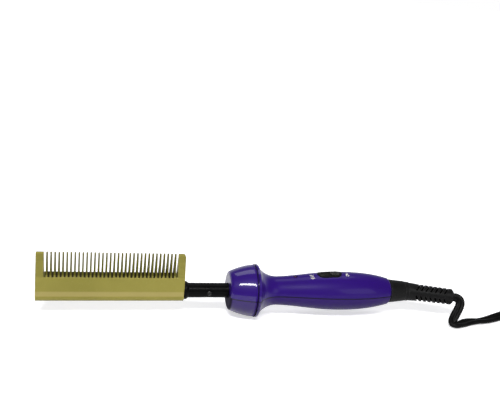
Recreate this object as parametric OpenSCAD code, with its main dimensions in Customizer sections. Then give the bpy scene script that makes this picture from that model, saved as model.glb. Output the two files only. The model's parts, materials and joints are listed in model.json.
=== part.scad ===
// Electric pressing comb: a slotted, wedge-section metal comb head on a tube stem,
// a two-shell moulded handle with a slide switch, and a mains cord on a swivel.
//
// All sizes are millimetres. Each piece is drawn with the nose of the comb head at x = 0,
// the stem and handle axis on z = 0 and the teeth pointing up. placed() then moves the
// whole thing so that its collar stands on z = 0 with the origin under its middle.

/* [Comb head] */
// Length of the metal comb head
head_len = 96.5; // [88:0.5:120]
// Distance from one slot to the next
tooth_pitch = 2.5; // [2:0.05:2.6]
// Number of slots between the teeth
slot_count = 35; // [12:1:35]
// Width of a slot at its floor
slot_root_w = 1.3; // [0.7:0.05:1.4]
// Width of a slot at the tips of the teeth
slot_tip_w = 1.5; // [1:0.05:1.7]
// Height of the tooth tips above the stem axis
tooth_tip_z = 27; // [22:0.5:34]
// Height of the slot floors above the stem axis
slot_floor_z = 11; // [8:0.5:14]
// Depth of the spine below the stem axis
spine_low_z = 7.5; // [6.5:0.1:10]
// Thickness across the teeth at their tips
tooth_tip_t = 2.0; // [1.2:0.1:3]
// Thickness of the head at the slot floors
shoulder_t = 8.9; // [8:0.1:11]
// Thickness of the head at the spine
spine_t = 11.6; // [11:0.1:14]

/* [Heater] */
// Diameter of the blind bore that holds the heater
heater_bore_d = 8; // [7.5:0.1:8.6]
// Length of the ceramic heater plate
plate_len = 76; // [40:1:80]
// Width of the ceramic heater plate
plate_w = 6.2; // [5:0.1:6.6]
// Thickness of the ceramic heater plate
plate_t = 1.3; // [1:0.1:1.6]
// Thickness of a mica sheet
mica_t = 0.4; // [0.3:0.05:0.6]

/* [Stem] */
// Outside diameter of the stem tube
stem_d = 10.2; // [8.5:0.1:12.3]
// Wall of the stem tube
stem_wall = 0.8; // [0.6:0.1:1.2]
// Distance from the comb head to the front of the handle
neck_len = 31; // [24:1:45]
// Diameter of the collar between head and stem
collar_d = 12.4; // [11.6:0.1:14]
// Length of the collar
collar_len = 3.3; // [2.5:0.1:6]

/* [Handle] */
// Length of the handle
handle_len = 119.6; // [118:0.1:150]
// Diameter of the cup's front face
cup_front_d = 27; // [25:0.5:29]
// Diameter of the cup at its rim
cup_rim_d = 36.2; // [34:0.2:42]
// Length of the cup to its rim groove
cup_len = 17.4; // [16:0.1:20]
// Diameter of the flange behind the rim groove
flange_d = 37.2; // [35:0.2:44]
// Diameter of the waist
waist_d = 20.2; // [19:0.2:23]
// Distance from the front of the handle to the waist
waist_at = 34.7; // [33:0.1:37]
// Diameter of the belly
belly_d = 27.5; // [26:0.1:33]
// Distance from the front of the handle to the fullest part of the belly
belly_at = 83.5; // [80:0.5:88]
// Diameter of the handle at its tail end
tail_d = 18.7; // [17:0.1:20]
// Wall of the handle shells
shell_wall = 2.2; // [1.8:0.1:2.6]

/* [Switch] */
// Length of the oval switch plate
switch_plate_len = 18.2; // [18:0.1:21]
// Width of the oval switch plate
switch_plate_w = 9.2; // [8.8:0.1:10]
// Length of the sliding knob
knob_len = 7; // [6:0.1:8]
// Travel of the sliding knob
switch_travel = 6.5; // [3:0.1:6.8]

/* [Strain relief] */
// Diameter of the rubber strain relief beside the handle
boot_d = 17.1; // [15:0.1:18]
// Diameter where it bends
boot_bend_d = 14.4; // [13:0.1:15]
// Diameter where its ribs begin
boot_rib_d = 12.5; // [11.5:0.1:13.5]
// Diameter at its tip
boot_tip_d = 11.7; // [11:0.1:12.5]
// Length of its straight outer part
boot_outer_len = 32.8; // [31:0.1:45]
// Angle by which it bends towards the front
boot_bend = 16; // [4:0.5:30]
// Turn of its slots about its own axis
boot_roll = 19; // [0:1:45]
// Number of slots in each side
boot_slots = 7; // [4:1:7]

/* [Cord and plug] */
// Width of the flat twin cord
cord_w = 6.8; // [6:0.1:7.4]
// Thickness of the flat twin cord
cord_t = 3.4; // [3:0.1:3.8]
// Length of the plug body
plug_len = 24; // [20:1:30]
// Length of the plug blades
blade_len = 17; // [15.5:0.1:18]

/* [Hidden] */

$fn = 72;

// Clearances
fit = 0.1;          // between pieces that are pushed together
loose = 0.3;        // between pieces that turn or slide
touch = 0.02;       // between flat faces that rest on each other
turn_gap = 0.8;     // between the strain relief's tip, which turns, and the cord's tube

// Comb head
first_slot_x = (head_len - (slot_count - 1) * tooth_pitch) / 2;
spine_r = spine_t / 2;
spine_arc_z = spine_r - spine_low_z;
bore_r = heater_bore_d / 2;
bore_floor_x = 8;
nose_corner_r = 1;
heel_corner_r = 2.4;

// Heater stack, flat plate upright on the middle plane
shoe_r = bore_r - fit;
plate_x = bore_floor_x + 2;
mica_y = plate_t / 2 + touch;
shoe_y = mica_y + mica_t + touch;
sensor_x = plate_x + plate_len - 14;
sensor_r = 0.7;
sensor_len = 3;

// Collar and stem
collar_x = head_len;
stem_x = collar_x + collar_len;
stem_r = stem_d / 2;
stem_bore_r = stem_r - stem_wall;
collar_spigot_len = 5;
collar_tail_len = 19;
collar_tail_r = stem_bore_r - fit;
wire_bore_r = 2.6;
rivet_x = stem_x + 14.2;
rivet_r = 1;
rivet_head_r = 1.6;
rivet_head_t = 0.45;

// Handle, measured from the front of its cup
hx = head_len + neck_len;
tail_x = hx + handle_len;
tail_r = tail_d / 2;
cup_front_r = cup_front_d / 2;
cup_rim_r = cup_rim_d / 2;
flange_r = flange_d / 2;
groove_len = 1.2;
groove_depth = 1.1;
flange_len = 1.9;
flange_x = hx + cup_len + groove_len;
flare_x = flange_x + flange_len;
flare_r = flange_r - 0.5;
waist_x = hx + waist_at;
waist_r = waist_d / 2;
belly_x = hx + belly_at;
belly_r = belly_d / 2;
cup_wall = 2.4;
end_wall = 2.4;
edge_r = 0.9;
split = 0.05;
lip_t = 0.9;
lip_h = 1.0;
steps = 12;

// Stem holder: a barrel with a flange between two ribs of the shells
holder_x = hx + 11.5;
holder_len = 12;
holder_r = 7.3;
holder_flange_r = 10.5;
holder_flange_x = holder_x + 5;
holder_flange_len = 2;
rib_t = 1.3;
stem_end_x = holder_x + holder_len;

// Board
board_x = waist_x + 6.3;
board_len = 37;
board_t = 1.6;
board_z = -3.2;
board_top = board_z + board_t;
post_r = 2.4;
post_xs = [board_x + 2.6, board_x + 24];
board_screw_r = 0.8;

// LED
led_x = board_x + 6.9;
led_r = 1.5;

// Switch, from the middle of its plate
sw_x = belly_x - 10.5;
plate_proud = 0.35;
plate_seat = 0.9;
tray_len = switch_plate_len - 4;
tray_x = sw_x + 0.5;
tray_w = 5.6;
frame_len = tray_len + 1.6;
frame_w = tray_w + 1.4;
tray_z = belly_r - 1.5;
frame_z = tray_z - 1;
knob_w = tray_w - 0.6;
knob_x = tray_x + tray_len / 2 - knob_len / 2 - 0.25;
knob_top_z = belly_r + 0.95;
lever_x = knob_x;
lever_len = 1.8;
lever_w = 1.4;
lever_slot_x = knob_x - switch_travel / 2;
lever_slot_len = switch_travel + lever_len + 0.6;
body_len = 11.4;
body_w = 6.2;
body_h = 5.6;
body_top = frame_z - touch;
body_x = lever_slot_x;

// Handle screw
screw_x = sw_x + 12.4;
screw_r = 1.45;
screw_head_r = 2.7;
screw_head_t = 1.9;
screw_seat_z = 4 - belly_r + 0.1;

// Swivel
mouth_r = 6;
core_flange_x = tail_x - 8.6;
core_flange_len = 1.8;
core_flange_r = 7.2;
core_hub_r = 4.9;
core_hub_x = core_flange_x - 16.4;
core_pin_r = 2;
core_pin_len = 3;
core_tail_r = 3.4;
neck_r = mouth_r - loose;
ring_xs = [core_hub_x + 2, core_hub_x + 7];
ring_len = 2.6;
ring_r = 5.6;
brush_t = 0.5;
brush_y = ring_r + 0.25;

// Strain relief: a cone, a bend and a straight ribbed part
boot_r = boot_d / 2;
boot_gap = 0.4;
bend_x = tail_x + 10.7;
bend_r = boot_bend_d / 2;
bend_rho = 24.6;
kink = bend_rho * tan(boot_bend / 4);   // the bend is two kinks, twice this apart
boot_step = 0.2;
boot_first_slot = 4;
boot_slot_pitch = 3.5;
boot_slot_w = 1.4;
boot_slot_tilt = 35;
boot_web = 4.6;
boot_core_r = 4.2;
boot_edge = 1.3;
total_len = bend_x + bend_rho * sin(boot_bend) + boot_outer_len * cos(boot_bend)
    + (boot_tip_d / 2 - boot_edge) * sin(boot_bend);

// Cord, laid on z = 0 in the placed frame. The middle of the tip's end face comes first
stand_z = max(flange_r, cup_rim_r);
exit_point = [
    bend_x + bend_rho * sin(boot_bend) + boot_outer_len * cos(boot_bend) - total_len / 2,
    -bend_rho * (1 - cos(boot_bend)) - boot_outer_len * sin(boot_bend), stand_z
];
exit_dir = [cos(boot_bend), -sin(boot_bend), 0];
// Route past the exit: forwards from the exit along x, then y and z as they are
cord_route = [
    [3.8, -11.2, 18.4], [5.6, -12.6, 16.6], [5.5, -14, 14], [3.8, -15.5, 11.3], [1.6, -17.2, 8.5],
    [-0.7, -19, 5.5], [-2.4, -21.2, 3.2], [-0.9, -22.9, 2.2], [3, -21.7, 2],
    [8.7, -19.6, 2.3], [15, -17.4, 2], [22, -16.9, 2], [28.2, -16, 2.1],
    [36.2, -13.3, 2.4], [43, -11.1, 2.9], [54, -6.3, 3.1]
];
// Direction that its flat face looks along, and its turn about the cord at each point
cord_face = [0.54, 0.72, -0.44];
cord_turns = [35, 25, 0, 0, 0, 0, 10, 45, 80, 45, 25, 50, 70, 50, 25, 5, 0];

// Spare cord: a hank of four turns side by side in two layers, in line with the handle
hank_x = exit_point[0] + 110;
hank_y = -14;
hank_run = 70;
hank_end_r = 20;
hank_band = 4 * cord_t + 0.4;
hank_h = 2 * cord_w + 0.2;

// Plug, which lies past the hank's end and points along +x
plug_neck = 6;
plug_x = hank_x + hank_run / 2 + hank_end_r + 14 + plug_neck + plug_len / 2;
plug_y = hank_y + 12;
plug_w = 19;
plug_h = 13;
blade_gap = 12.7;
blade_w = 6.35;
blade_t = 1.5;

// ---- Formulas -----------------------------------------------------------

// A point of a cubic curve, and the same point moved sideways by d towards the axis
function curve(p, t) = pow(1 - t, 3) * p[0] + 3 * pow(1 - t, 2) * t * p[1]
    + 3 * (1 - t) * t * t * p[2] + pow(t, 3) * p[3];
function slope(p, t) = 3 * pow(1 - t, 2) * (p[1] - p[0])
    + 6 * (1 - t) * t * (p[2] - p[1]) + 3 * t * t * (p[3] - p[2]);
function inset(p, t, d) = let (s = slope(p, t), n = norm(s))
    curve(p, t) + d / n * [s[1], -s[0]];
function stretch(p, d, from = 0, to = 1) =
    [for (i = [0 : steps]) inset(p, from + (to - from) * i / steps, d)];

// The four curved stretches of the handle's outline, as [x, radius]
cup_curve = [
    [hx + edge_r, cup_front_r], [hx + 0.34 * cup_len, cup_front_r + 2.3],
    [hx + 0.69 * cup_len, cup_rim_r - 0.3], [hx + cup_len, cup_rim_r]
];
flare_curve = [
    [flare_x, flare_r], [flare_x + 2.7, flare_r - 5.1],
    [waist_x - 5.8, waist_r], [waist_x, waist_r]
];
front_curve = [
    [waist_x, waist_r], [waist_x + 0.32 * (belly_x - waist_x), waist_r + 0.4],
    [waist_x + 0.57 * (belly_x - waist_x), belly_r], [belly_x, belly_r]
];
back_curve = [
    [belly_x, belly_r], [belly_x + 0.42 * (tail_x - belly_x), belly_r],
    [belly_x + 0.71 * (tail_x - belly_x), belly_r - 1.5], [tail_x - edge_r, tail_r + 0.3]
];
board_w = 2 * sqrt(pow(lookup(board_x, stretch(front_curve, 0)) - shell_wall - 0.3, 2)
    - pow(board_z, 2));
led_surface_z = lookup(led_x, stretch(front_curve, 0));
led_flange_z = led_surface_z - shell_wall - 1.4;

outer_line = concat(
    [[hx, 0], [hx, cup_front_r - 2.2], [hx + 0.12, cup_front_r - 1.4],
     [hx + 0.4, cup_front_r - 0.6]],
    stretch(cup_curve, 0),
    [[hx + cup_len, cup_rim_r - groove_depth], [flange_x, cup_rim_r - groove_depth],
     [flange_x, flange_r], [flare_x - 0.5, flange_r]],
    stretch(flare_curve, 0), stretch(front_curve, 0), stretch(back_curve, 0),
    [[tail_x, tail_r - 0.5], [tail_x, 0]]
);
// The hollow, or a line inside the wall, d in from the outside
function hollow_line(d) = concat(
    [[hx + cup_wall, 0], [hx + cup_wall, cup_front_r + 1.2 - d]],
    stretch(cup_curve, d, 0.22, 1), stretch(flare_curve, d, 0.14, 1),
    stretch(front_curve, d), stretch(back_curve, d, 0, 0.94),
    [[tail_x - end_wall, tail_r + 1.1 - d], [tail_x - end_wall, 0]]
);

// ---- Shared shapes ------------------------------------------------------

module placed() {
    translate([-total_len / 2, 0, stand_z]) children();
}

// Turns a line of [x, radius] points about the x axis
module turned(line) {
    rotate([0, 90, 0]) rotate_extrude() polygon([for (p = line) [p[1], p[0]]]);
}

module disc(x, len, r) {
    translate([x, 0, 0]) rotate([0, 90, 0]) cylinder(h = len, r = r);
}

module pipe(x, len, r, bore) {
    difference() {
        disc(x, len, r);
        disc(x - 1, len + 2, bore);
    }
}

module box(from, to) {
    translate(from) cube(to - from);
}

// A round-ended bar of length len along x, from z = low upwards
module oval(x, len, w, low, high) {
    translate([x, 0, low]) linear_extrude(high - low) union() {
        square([len - w, w], center = true);
        for (side = [-1, 1]) translate([side * (len - w) / 2, 0]) circle(d = w);
    }
}

function unit(v) = v / norm(v);
function tangent(p, i) = unit(p[min(i + 1, len(p) - 1)] - p[max(i - 1, 0)]);

// A path with each inner corner replaced by three points of a small bend
function bent(p, r) = [for (i = [0 : len(p) - 1]) each
    i == 0 || i == len(p) - 1 ? [p[i]] :
    let (a = p[i] + min(r, 0.45 * norm(p[i - 1] - p[i])) * unit(p[i - 1] - p[i]),
         b = p[i] + min(r, 0.45 * norm(p[i + 1] - p[i])) * unit(p[i + 1] - p[i]))
    [a, (a + 2 * p[i] + b) / 4, b]];

// Points of an oval outline round point i of path p, w wide across the direction ref,
// turned by an angle about the path
function ring_points(p, i, w, t, ref, sides, turn) =
    let (d = tangent(p, i), s0 = unit(cross(d, ref)), u0 = cross(s0, d),
         s = cos(turn) * s0 + sin(turn) * u0, u = cross(s, d))
    [for (k = [0 : sides - 1])
        let (a = (k + 0.5) * 360 / sides) p[i] + w / 2 * cos(a) * s + t / 2 * sin(a) * u];

// A tube of oval section swept along path p
module swept(p, w, t, ref, sides, turns = [0]) {
    n = len(p);
    points = [for (i = [0 : n - 1])
        each ring_points(p, i, w, t, ref, sides, turns[min(i, len(turns) - 1)])];
    walls = [for (i = [0 : n - 2]) for (k = [0 : sides - 1])
        let (a = i * sides + k, b = i * sides + (k + 1) % sides)
        each [[a, b + sides, b], [a, a + sides, b + sides]]];
    start_cap = [for (k = [0 : sides - 1]) k];
    end_cap = [for (k = [sides - 1 : -1 : 0]) (n - 1) * sides + k];
    polyhedron(points, concat([start_cap, end_cap], walls));
}

// Round wire through a list of points
module wire(points, r) {
    swept(bent(points, 1.6), 2 * r, 2 * r, [0, 1, 0], 8);
}

// ---- Comb head ----------------------------------------------------------

module head_section() {
    union() {
        translate([0, spine_arc_z]) circle(r = spine_r);
        translate([0, tooth_tip_z - tooth_tip_t / 2]) circle(d = tooth_tip_t);
        polygon([
            [-tooth_tip_t / 2, tooth_tip_z - tooth_tip_t / 2], [-shoulder_t / 2, slot_floor_z],
            [-spine_r, spine_arc_z], [spine_r, spine_arc_z], [shoulder_t / 2, slot_floor_z],
            [tooth_tip_t / 2, tooth_tip_z - tooth_tip_t / 2]
        ]);
    }
}

// One slot, wider at the tips than at its floor, seen from the side
module slot_outline(x) {
    polygon([
        [x - slot_root_w / 2, slot_floor_z], [x + slot_root_w / 2, slot_floor_z],
        [x + slot_tip_w / 2, tooth_tip_z + 1], [x - slot_tip_w / 2, tooth_tip_z + 1]
    ]);
}

// What is cut from a square corner to round it; sx and sz point into the head
module corner_waste(x, z, r, sx, sz) {
    difference() {
        translate([x - (sx > 0 ? 1 : r), z - (sz > 0 ? 1 : r)]) square(r + 1);
        translate([x + sx * r, z + sz * r]) circle(r = r);
    }
}

module comb_head() {
    color([0.72, 0.66, 0.38]) placed() difference() {
        rotate([90, 0, 90]) linear_extrude(head_len) head_section();
        rotate([90, 0, 0]) linear_extrude(spine_t + 2, center = true) union() {
            for (i = [0 : slot_count - 1]) slot_outline(first_slot_x + i * tooth_pitch);
            corner_waste(0, tooth_tip_z, nose_corner_r, 1, -1);
            corner_waste(head_len, tooth_tip_z, heel_corner_r, -1, -1);
            corner_waste(head_len, -spine_low_z, nose_corner_r, -1, 1);
        }
        disc(bore_floor_x, head_len, bore_r);
    }
}

// ---- Heater inside the head ---------------------------------------------

module heater_plate() {
    color([0.93, 0.91, 0.86]) placed()
        box([plate_x, -plate_t / 2, -plate_w / 2], [plate_x + plate_len, plate_t / 2, plate_w / 2]);
}

module mica_sheets() {
    color([0.78, 0.66, 0.45]) placed() for (side = [-1, 1])
        translate([0, side * (mica_y + mica_t / 2), 0])
            box([plate_x, -mica_t / 2, -plate_w / 2], [plate_x + plate_len, mica_t / 2, plate_w / 2]);
}

// Two half-round shoes that press the plate and carry its heat to the bore
module heater_shoes() {
    color([0.75, 0.76, 0.78]) placed() difference() {
        disc(plate_x, plate_len, shoe_r);
        box([plate_x - 1, -shoe_y, -bore_r], [plate_x + plate_len + 1, shoe_y, bore_r]);
        box([sensor_x - fit, shoe_y - 1, -sensor_r - fit],
            [plate_x + plate_len + 1, shoe_y + 2 * sensor_r + fit, sensor_r + fit]);
    }
}

// Glass bead sensor in a groove of one shoe
module temperature_sensor() {
    color([0.75, 0.35, 0.2]) placed()
        translate([0, shoe_y + sensor_r + fit / 2, 0]) disc(sensor_x, sensor_len, sensor_r);
}

// ---- Collar, stem and what runs through them ----------------------------

module head_collar() {
    color([0.08, 0.08, 0.09]) placed() difference() {
        union() {
            disc(collar_x - collar_spigot_len, collar_spigot_len + 0.5, bore_r - fit);
            turned([
                [collar_x + touch, 0], [collar_x + touch, collar_d / 2],
                [collar_x + 0.55 * collar_len, collar_d / 2], [stem_x - touch, stem_r + 0.1],
                [stem_x - touch, 0]
            ]);
            disc(stem_x - 0.5, collar_tail_len + 0.5, collar_tail_r);
        }
        disc(collar_x - collar_spigot_len - 1, collar_spigot_len + collar_tail_len + 9, wire_bore_r);
        translate([rivet_x, 0, 0]) rotate([90, 0, 0]) cylinder(h = stem_r, r = rivet_r + fit);
    }
}

module stem_tube() {
    color([0.09, 0.09, 0.1]) placed() difference() {
        pipe(stem_x, stem_end_x - stem_x, stem_r, stem_bore_r);
        translate([rivet_x, 0, 0]) rotate([90, 0, 0]) cylinder(h = stem_d, r = rivet_r + fit);
    }
}

module stem_rivet() {
    color([0.09, 0.09, 0.1]) placed() translate([rivet_x, 0, 0]) rotate([90, 0, 0]) union() {
        translate([0, 0, wire_bore_r + 0.3])
            cylinder(h = stem_r + 0.2 - wire_bore_r - 0.3, r = rivet_r);
        translate([0, 0, stem_r + touch]) cylinder(h = rivet_head_t, r1 = rivet_head_r, r2 = 1.1);
    }
}

// Phenolic block that grips the stem tube and is itself trapped between ribs
module stem_holder() {
    color([0.25, 0.17, 0.12]) placed() difference() {
        union() {
            disc(holder_x, holder_len, holder_r);
            disc(holder_flange_x, holder_flange_len, holder_flange_r);
            box([holder_flange_x, -2, holder_r], [holder_flange_x + holder_flange_len, 2, 12.3]);
        }
        disc(holder_x - 1, holder_len + 2, stem_r + 0.05);
    }
}

fuse_x = waist_x - 4.5;
fuse_len = 9;
fuse_y = -3.6;
heater_wire_r = 0.75;
sensor_wire_r = 0.45;
heater_wire_y = 1.15;
heater_wire_z = -0.8;
heater_end_x = plate_x + plate_len;

module thermal_fuse() {
    color([0.8, 0.8, 0.78]) placed() translate([0, fuse_y, 0]) disc(fuse_x, fuse_len, 2);
}

module heater_wires() {
    color([0.85, 0.82, 0.75]) placed() union() {
        // through the fuse
        wire([
            [heater_end_x + 0.2, -heater_wire_y, heater_wire_z],
            [stem_end_x, -heater_wire_y, heater_wire_z], [fuse_x - 3, fuse_y, 0],
            [fuse_x - touch, fuse_y, 0]
        ], heater_wire_r);
        wire([
            [fuse_x + fuse_len + touch, fuse_y, 0], [fuse_x + fuse_len + 1.5, fuse_y, 0],
            [board_x + 1.5, -4.6, 1.2], [board_x + 4.6, -4.6, 1.2],
            [board_x + 4.6, -4.6, board_top + touch]
        ], heater_wire_r);
        // straight to the board
        wire([
            [heater_end_x + 0.2, heater_wire_y, heater_wire_z],
            [stem_end_x, heater_wire_y, heater_wire_z], [waist_x, 3, 0],
            [board_x + 1.5, 4.6, 1.2], [board_x + 4.6, 4.6, 1.2],
            [board_x + 4.6, 4.6, board_top + touch]
        ], heater_wire_r);
    }
}

module sensor_wires() {
    color([0.8, 0.25, 0.2]) placed() union() {
        wire([
            [sensor_x + sensor_len + touch, shoe_y + sensor_r + fit / 2, 0],
            [heater_end_x + 1.5, shoe_y + sensor_r + fit / 2, 0.2], [heater_end_x + 6, 1.2, 1.5],
            [stem_end_x, 1.2, 1.5], [waist_x, 1.5, 3], [board_x + 1, 2.6, 1.6],
            [board_x + 4.4, 2.6, 1.6], [board_x + 4.4, 2.6, board_top + touch]
        ], sensor_wire_r);
        wire([
            [heater_end_x + 0.6, 0, 1.9], [heater_end_x + 6, -0.8, 1.6], [stem_end_x, -0.8, 1.6],
            [waist_x, -0.5, 3], [board_x + 1, -2.6, 1.6], [board_x + 4.4, -2.6, 1.6],
            [board_x + 4.4, -2.6, board_top + touch]
        ], sensor_wire_r);
    }
}

// ---- Handle shells ------------------------------------------------------

// Everything both shells share, before they are split at z = 0
module shell_blank() {
    difference() {
        turned(outer_line);
        turned(hollow_line(shell_wall));
        disc(hx - 1, cup_wall + 2, stem_r + loose);
        disc(tail_x - end_wall - 1, end_wall + 2, mouth_r);
    }
    // ribs that trap the stem holder, the swivel core and its inner pin
    for (x = [holder_flange_x - rib_t - 0.1, holder_flange_x + holder_flange_len + 0.1])
        pipe(x, rib_t, cup_rim_r - 2, holder_r + loose);
    pipe(core_flange_x - rib_t - loose, rib_t, 9.6, core_hub_r + loose);
    pipe(core_flange_x + core_flange_len + loose, rib_t, 8.6, mouth_r);
    intersection() {
        pipe(core_hub_x - 2.2, 1.6, belly_r - 1.5, core_pin_r + loose);
        box([core_hub_x - 3, -3.4, -belly_r], [core_hub_x, 3.4, belly_r]);
    }
}

// A strip of the inner half of the wall along the split, for the lip and its groove
module lip_strip(grow, height) {
    intersection() {
        difference() {
            turned(hollow_line(shell_wall - lip_t - grow));
            turned(hollow_line(shell_wall + grow));
        }
        for (side = [-1, 1]) translate([hx + 6, side > 0 ? 3 : -40, -0.5])
            cube([handle_len - 14, 37, height + 0.5]);
    }
}

module handle_lower_shell() {
    color([0.24, 0.13, 0.5]) placed() difference() {
        union() {
            intersection() {
                shell_blank();
                box([hx - 1, -30, -30], [tail_x + 1, 30, -split]);
            }
            intersection() {
                lip_strip(0, lip_h);
                box([hx - 1, -30, -0.5], [tail_x + 1, 30, lip_h]);
            }
            // posts under the board
            intersection() {
                turned(hollow_line(shell_wall - 0.6));
                union() {
                    for (x = post_xs) translate([x, 0, -30])
                        cylinder(h = 30 + board_z - touch, r = post_r);
                    translate([screw_x, 0, -30]) cylinder(h = 30 - 7.6, r = screw_head_r + 1.8);
                    translate([screw_x, 0, -30]) cylinder(h = 30 - split, r = 3.2);
                    for (i = [0, 1]) scale([1, i == 0 ? 1 : -1, 1])
                        box([ring_xs[i] + 0.5, -8.8, -20],
                            [ring_xs[i] + ring_len - 0.5, -brush_y - brush_t - touch, -3]);
                }
            }
        }
        for (x = post_xs) translate([x, 0, board_z - 4]) cylinder(h = 8, r = board_screw_r + 0.05);
        translate([screw_x, 0, -20]) cylinder(h = 20 + screw_seat_z, r = screw_head_r + loose);
        translate([screw_x, 0, -20]) cylinder(h = 30, r = screw_r + 0.2);
    }
}

module handle_upper_shell() {
    color([0.24, 0.13, 0.5]) placed() difference() {
        union() {
            intersection() {
                shell_blank();
                box([hx - 1, -30, split], [tail_x + 1, 30, 30]);
            }
            intersection() {
                turned(hollow_line(shell_wall - 0.6));
                translate([screw_x, 0, split]) cylinder(h = 30, r = 3.2);
            }
        }
        lip_strip(fit, lip_h + 0.15);
        translate([screw_x, 0, -1]) cylinder(h = 9.6, r = screw_r + 0.05);
        // seat and opening of the switch plate
        difference() {
            oval(sw_x, switch_plate_len + 2 * fit, switch_plate_w + 2 * fit, 5, 20);
            turned(hollow_line(plate_seat));
        }
        oval(tray_x, frame_len + 2 * fit, frame_w + 2 * fit, 5, 20);
        translate([led_x, 0, 5]) cylinder(h = 10, r = led_r + fit);
        // notch for the key of the stem holder
        box([holder_flange_x - 0.1, -2.1, 9], [holder_flange_x + holder_flange_len + 0.1, 2.1, 12.6]);
    }
}

module handle_screw() {
    color([0.6, 0.6, 0.62]) placed() translate([screw_x, 0, 0]) difference() {
        union() {
            translate([0, 0, screw_seat_z - screw_head_t - touch])
                cylinder(h = screw_head_t, r1 = screw_head_r - 0.5, r2 = screw_head_r);
            translate([0, 0, screw_seat_z - 0.3]) cylinder(h = -screw_seat_z + 7.5, r = screw_r);
        }
        for (a = [0, 90]) rotate([0, 0, a])
            translate([-1.5, -0.3, screw_seat_z - screw_head_t - 1]) cube([3, 0.6, 1.9]);
    }
}

// ---- Board and its parts ------------------------------------------------

module circuit_board() {
    color([0.1, 0.35, 0.16]) placed() difference() {
        box([board_x, -board_w / 2, board_z], [board_x + board_len, board_w / 2, board_top]);
        for (x = post_xs) translate([x, 0, board_z - 1]) cylinder(h = 4, r = board_screw_r + 0.2);
    }
}

module board_screws() {
    color([0.62, 0.62, 0.64]) placed() for (x = post_xs) translate([x, 0, 0]) union() {
        translate([0, 0, board_z - 3.6]) cylinder(h = 3.6 + board_t + 0.2, r = board_screw_r);
        translate([0, 0, board_top + touch]) cylinder(h = 1.1, r1 = 1.6, r2 = 1.2);
    }
}

module triac() {
    color([0.12, 0.12, 0.13]) placed() union() {
        box([board_x + 9.6, -6, board_top + 1.6], [board_x + 19.2, -2.2, board_top + 7]);
        for (i = [-1 : 1]) box([board_x + 14.1 + i * 2.54, -4.4, board_top + touch],
                               [board_x + 14.7 + i * 2.54, -3.9, board_top + 2]);
    }
}

module film_capacitor() {
    color([0.85, 0.7, 0.15]) placed()
        box([board_x + 9.6, 1.6, board_top + touch], [board_x + 19.6, 6, board_top + 7]);
}

module resistors() {
    color([0.75, 0.65, 0.5]) placed() for (y = [-5, 5]) union() {
        translate([0, y, board_top + 1.3]) disc(board_x + 22, 6, 1);
        for (x = [board_x + 20.8, board_x + 29.2]) {
            translate([x, y, board_top + touch]) cylinder(h = 1.3 - touch, r = 0.3, $fn = 24);
            translate([x, y, board_top + 1.3]) sphere(r = 0.3, $fn = 24);
        }
        translate([0, y, board_top + 1.3]) disc(board_x + 20.8, 8.4, 0.3);
    }
}

module indicator_led() {
    color([0.45, 0.06, 0.06]) placed() translate([led_x, 0, 0]) union() {
        translate([0, 0, led_flange_z]) cylinder(h = 1, r = led_r + 0.35);
        translate([0, 0, led_flange_z]) cylinder(h = led_surface_z - led_flange_z - 1.3, r = led_r);
        translate([0, 0, led_surface_z - 1.3]) sphere(r = led_r);
        for (y = [-1, 1]) translate([0, y, board_top + touch])
            cylinder(h = led_flange_z - board_top, r = 0.3, $fn = 24);
    }
}

// ---- Switch -------------------------------------------------------------

module switch_plate() {
    color([0.05, 0.05, 0.06]) placed() difference() {
        union() {
            // lid that follows the round of the handle
            difference() {
                intersection() {
                    turned(concat([[waist_x, 0]], stretch(front_curve, -plate_proud), [[belly_x, 0]]));
                    oval(sw_x, switch_plate_len, switch_plate_w, 5, 20);
                }
                turned(hollow_line(plate_seat - touch));
            }
            intersection() {
                turned(hollow_line(0.2));
                oval(tray_x, frame_len, frame_w, frame_z, 20);
            }
            // legs that hold the switch body
            for (side = [-1, 1]) translate([body_x, 0, 0]) scale([side, 1, 1]) union() {
                box([body_len / 2 + touch, -2.2, body_top - body_h - 0.9],
                    [body_len / 2 + 1.3, 2.2, frame_z + 0.5]);
                box([body_len / 2 - 0.8, -2.2, body_top - body_h - 0.9],
                    [body_len / 2 + 0.5, 2.2, body_top - body_h - touch]);
            }
        }
        oval(tray_x, tray_len, tray_w, tray_z, 20);
        box([lever_slot_x - lever_slot_len / 2, -lever_w / 2 - loose, frame_z - 1],
            [lever_slot_x + lever_slot_len / 2, lever_w / 2 + loose, 20]);
    }
}

module switch_body() {
    color([0.15, 0.15, 0.17]) placed() union() {
        difference() {
            box([body_x - body_len / 2, -body_w / 2, body_top - body_h],
                [body_x + body_len / 2, body_w / 2, body_top]);
            box([lever_slot_x - lever_slot_len / 2, -lever_w / 2 - loose, body_top - 1.5],
                [lever_slot_x + lever_slot_len / 2, lever_w / 2 + loose, body_top + 1]);
        }
        for (x = [-3, 0, 3]) box([body_x + x - 0.5, -0.25, board_top + touch],
                                 [body_x + x + 0.5, 0.25, body_top - body_h + 0.5]);
    }
}

module switch_lever() {
    color([0.85, 0.85, 0.82]) placed()
        box([lever_x - lever_len / 2, -lever_w / 2, body_top - 1.2],
            [lever_x + lever_len / 2, lever_w / 2, tray_z + 0.8]);
}

module switch_slider() {
    color([0.07, 0.07, 0.08]) placed() difference() {
        union() {
            oval(knob_x, knob_len, knob_w, tray_z + loose / 2, belly_r + 0.2);
            for (i = [-1 : 1]) translate([knob_x + i * 1.5, 0, belly_r + 0.1])
                rotate([90, 0, 0]) cylinder(h = knob_w - 1.2, r = 0.6, center = true, $fn = 32);
        }
        box([lever_x - lever_len / 2 - fit, -lever_w / 2 - fit, tray_z - 1],
            [lever_x + lever_len / 2 + fit, lever_w / 2 + fit, tray_z + 0.85]);
    }
}

// ---- Swivel -------------------------------------------------------------

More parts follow.
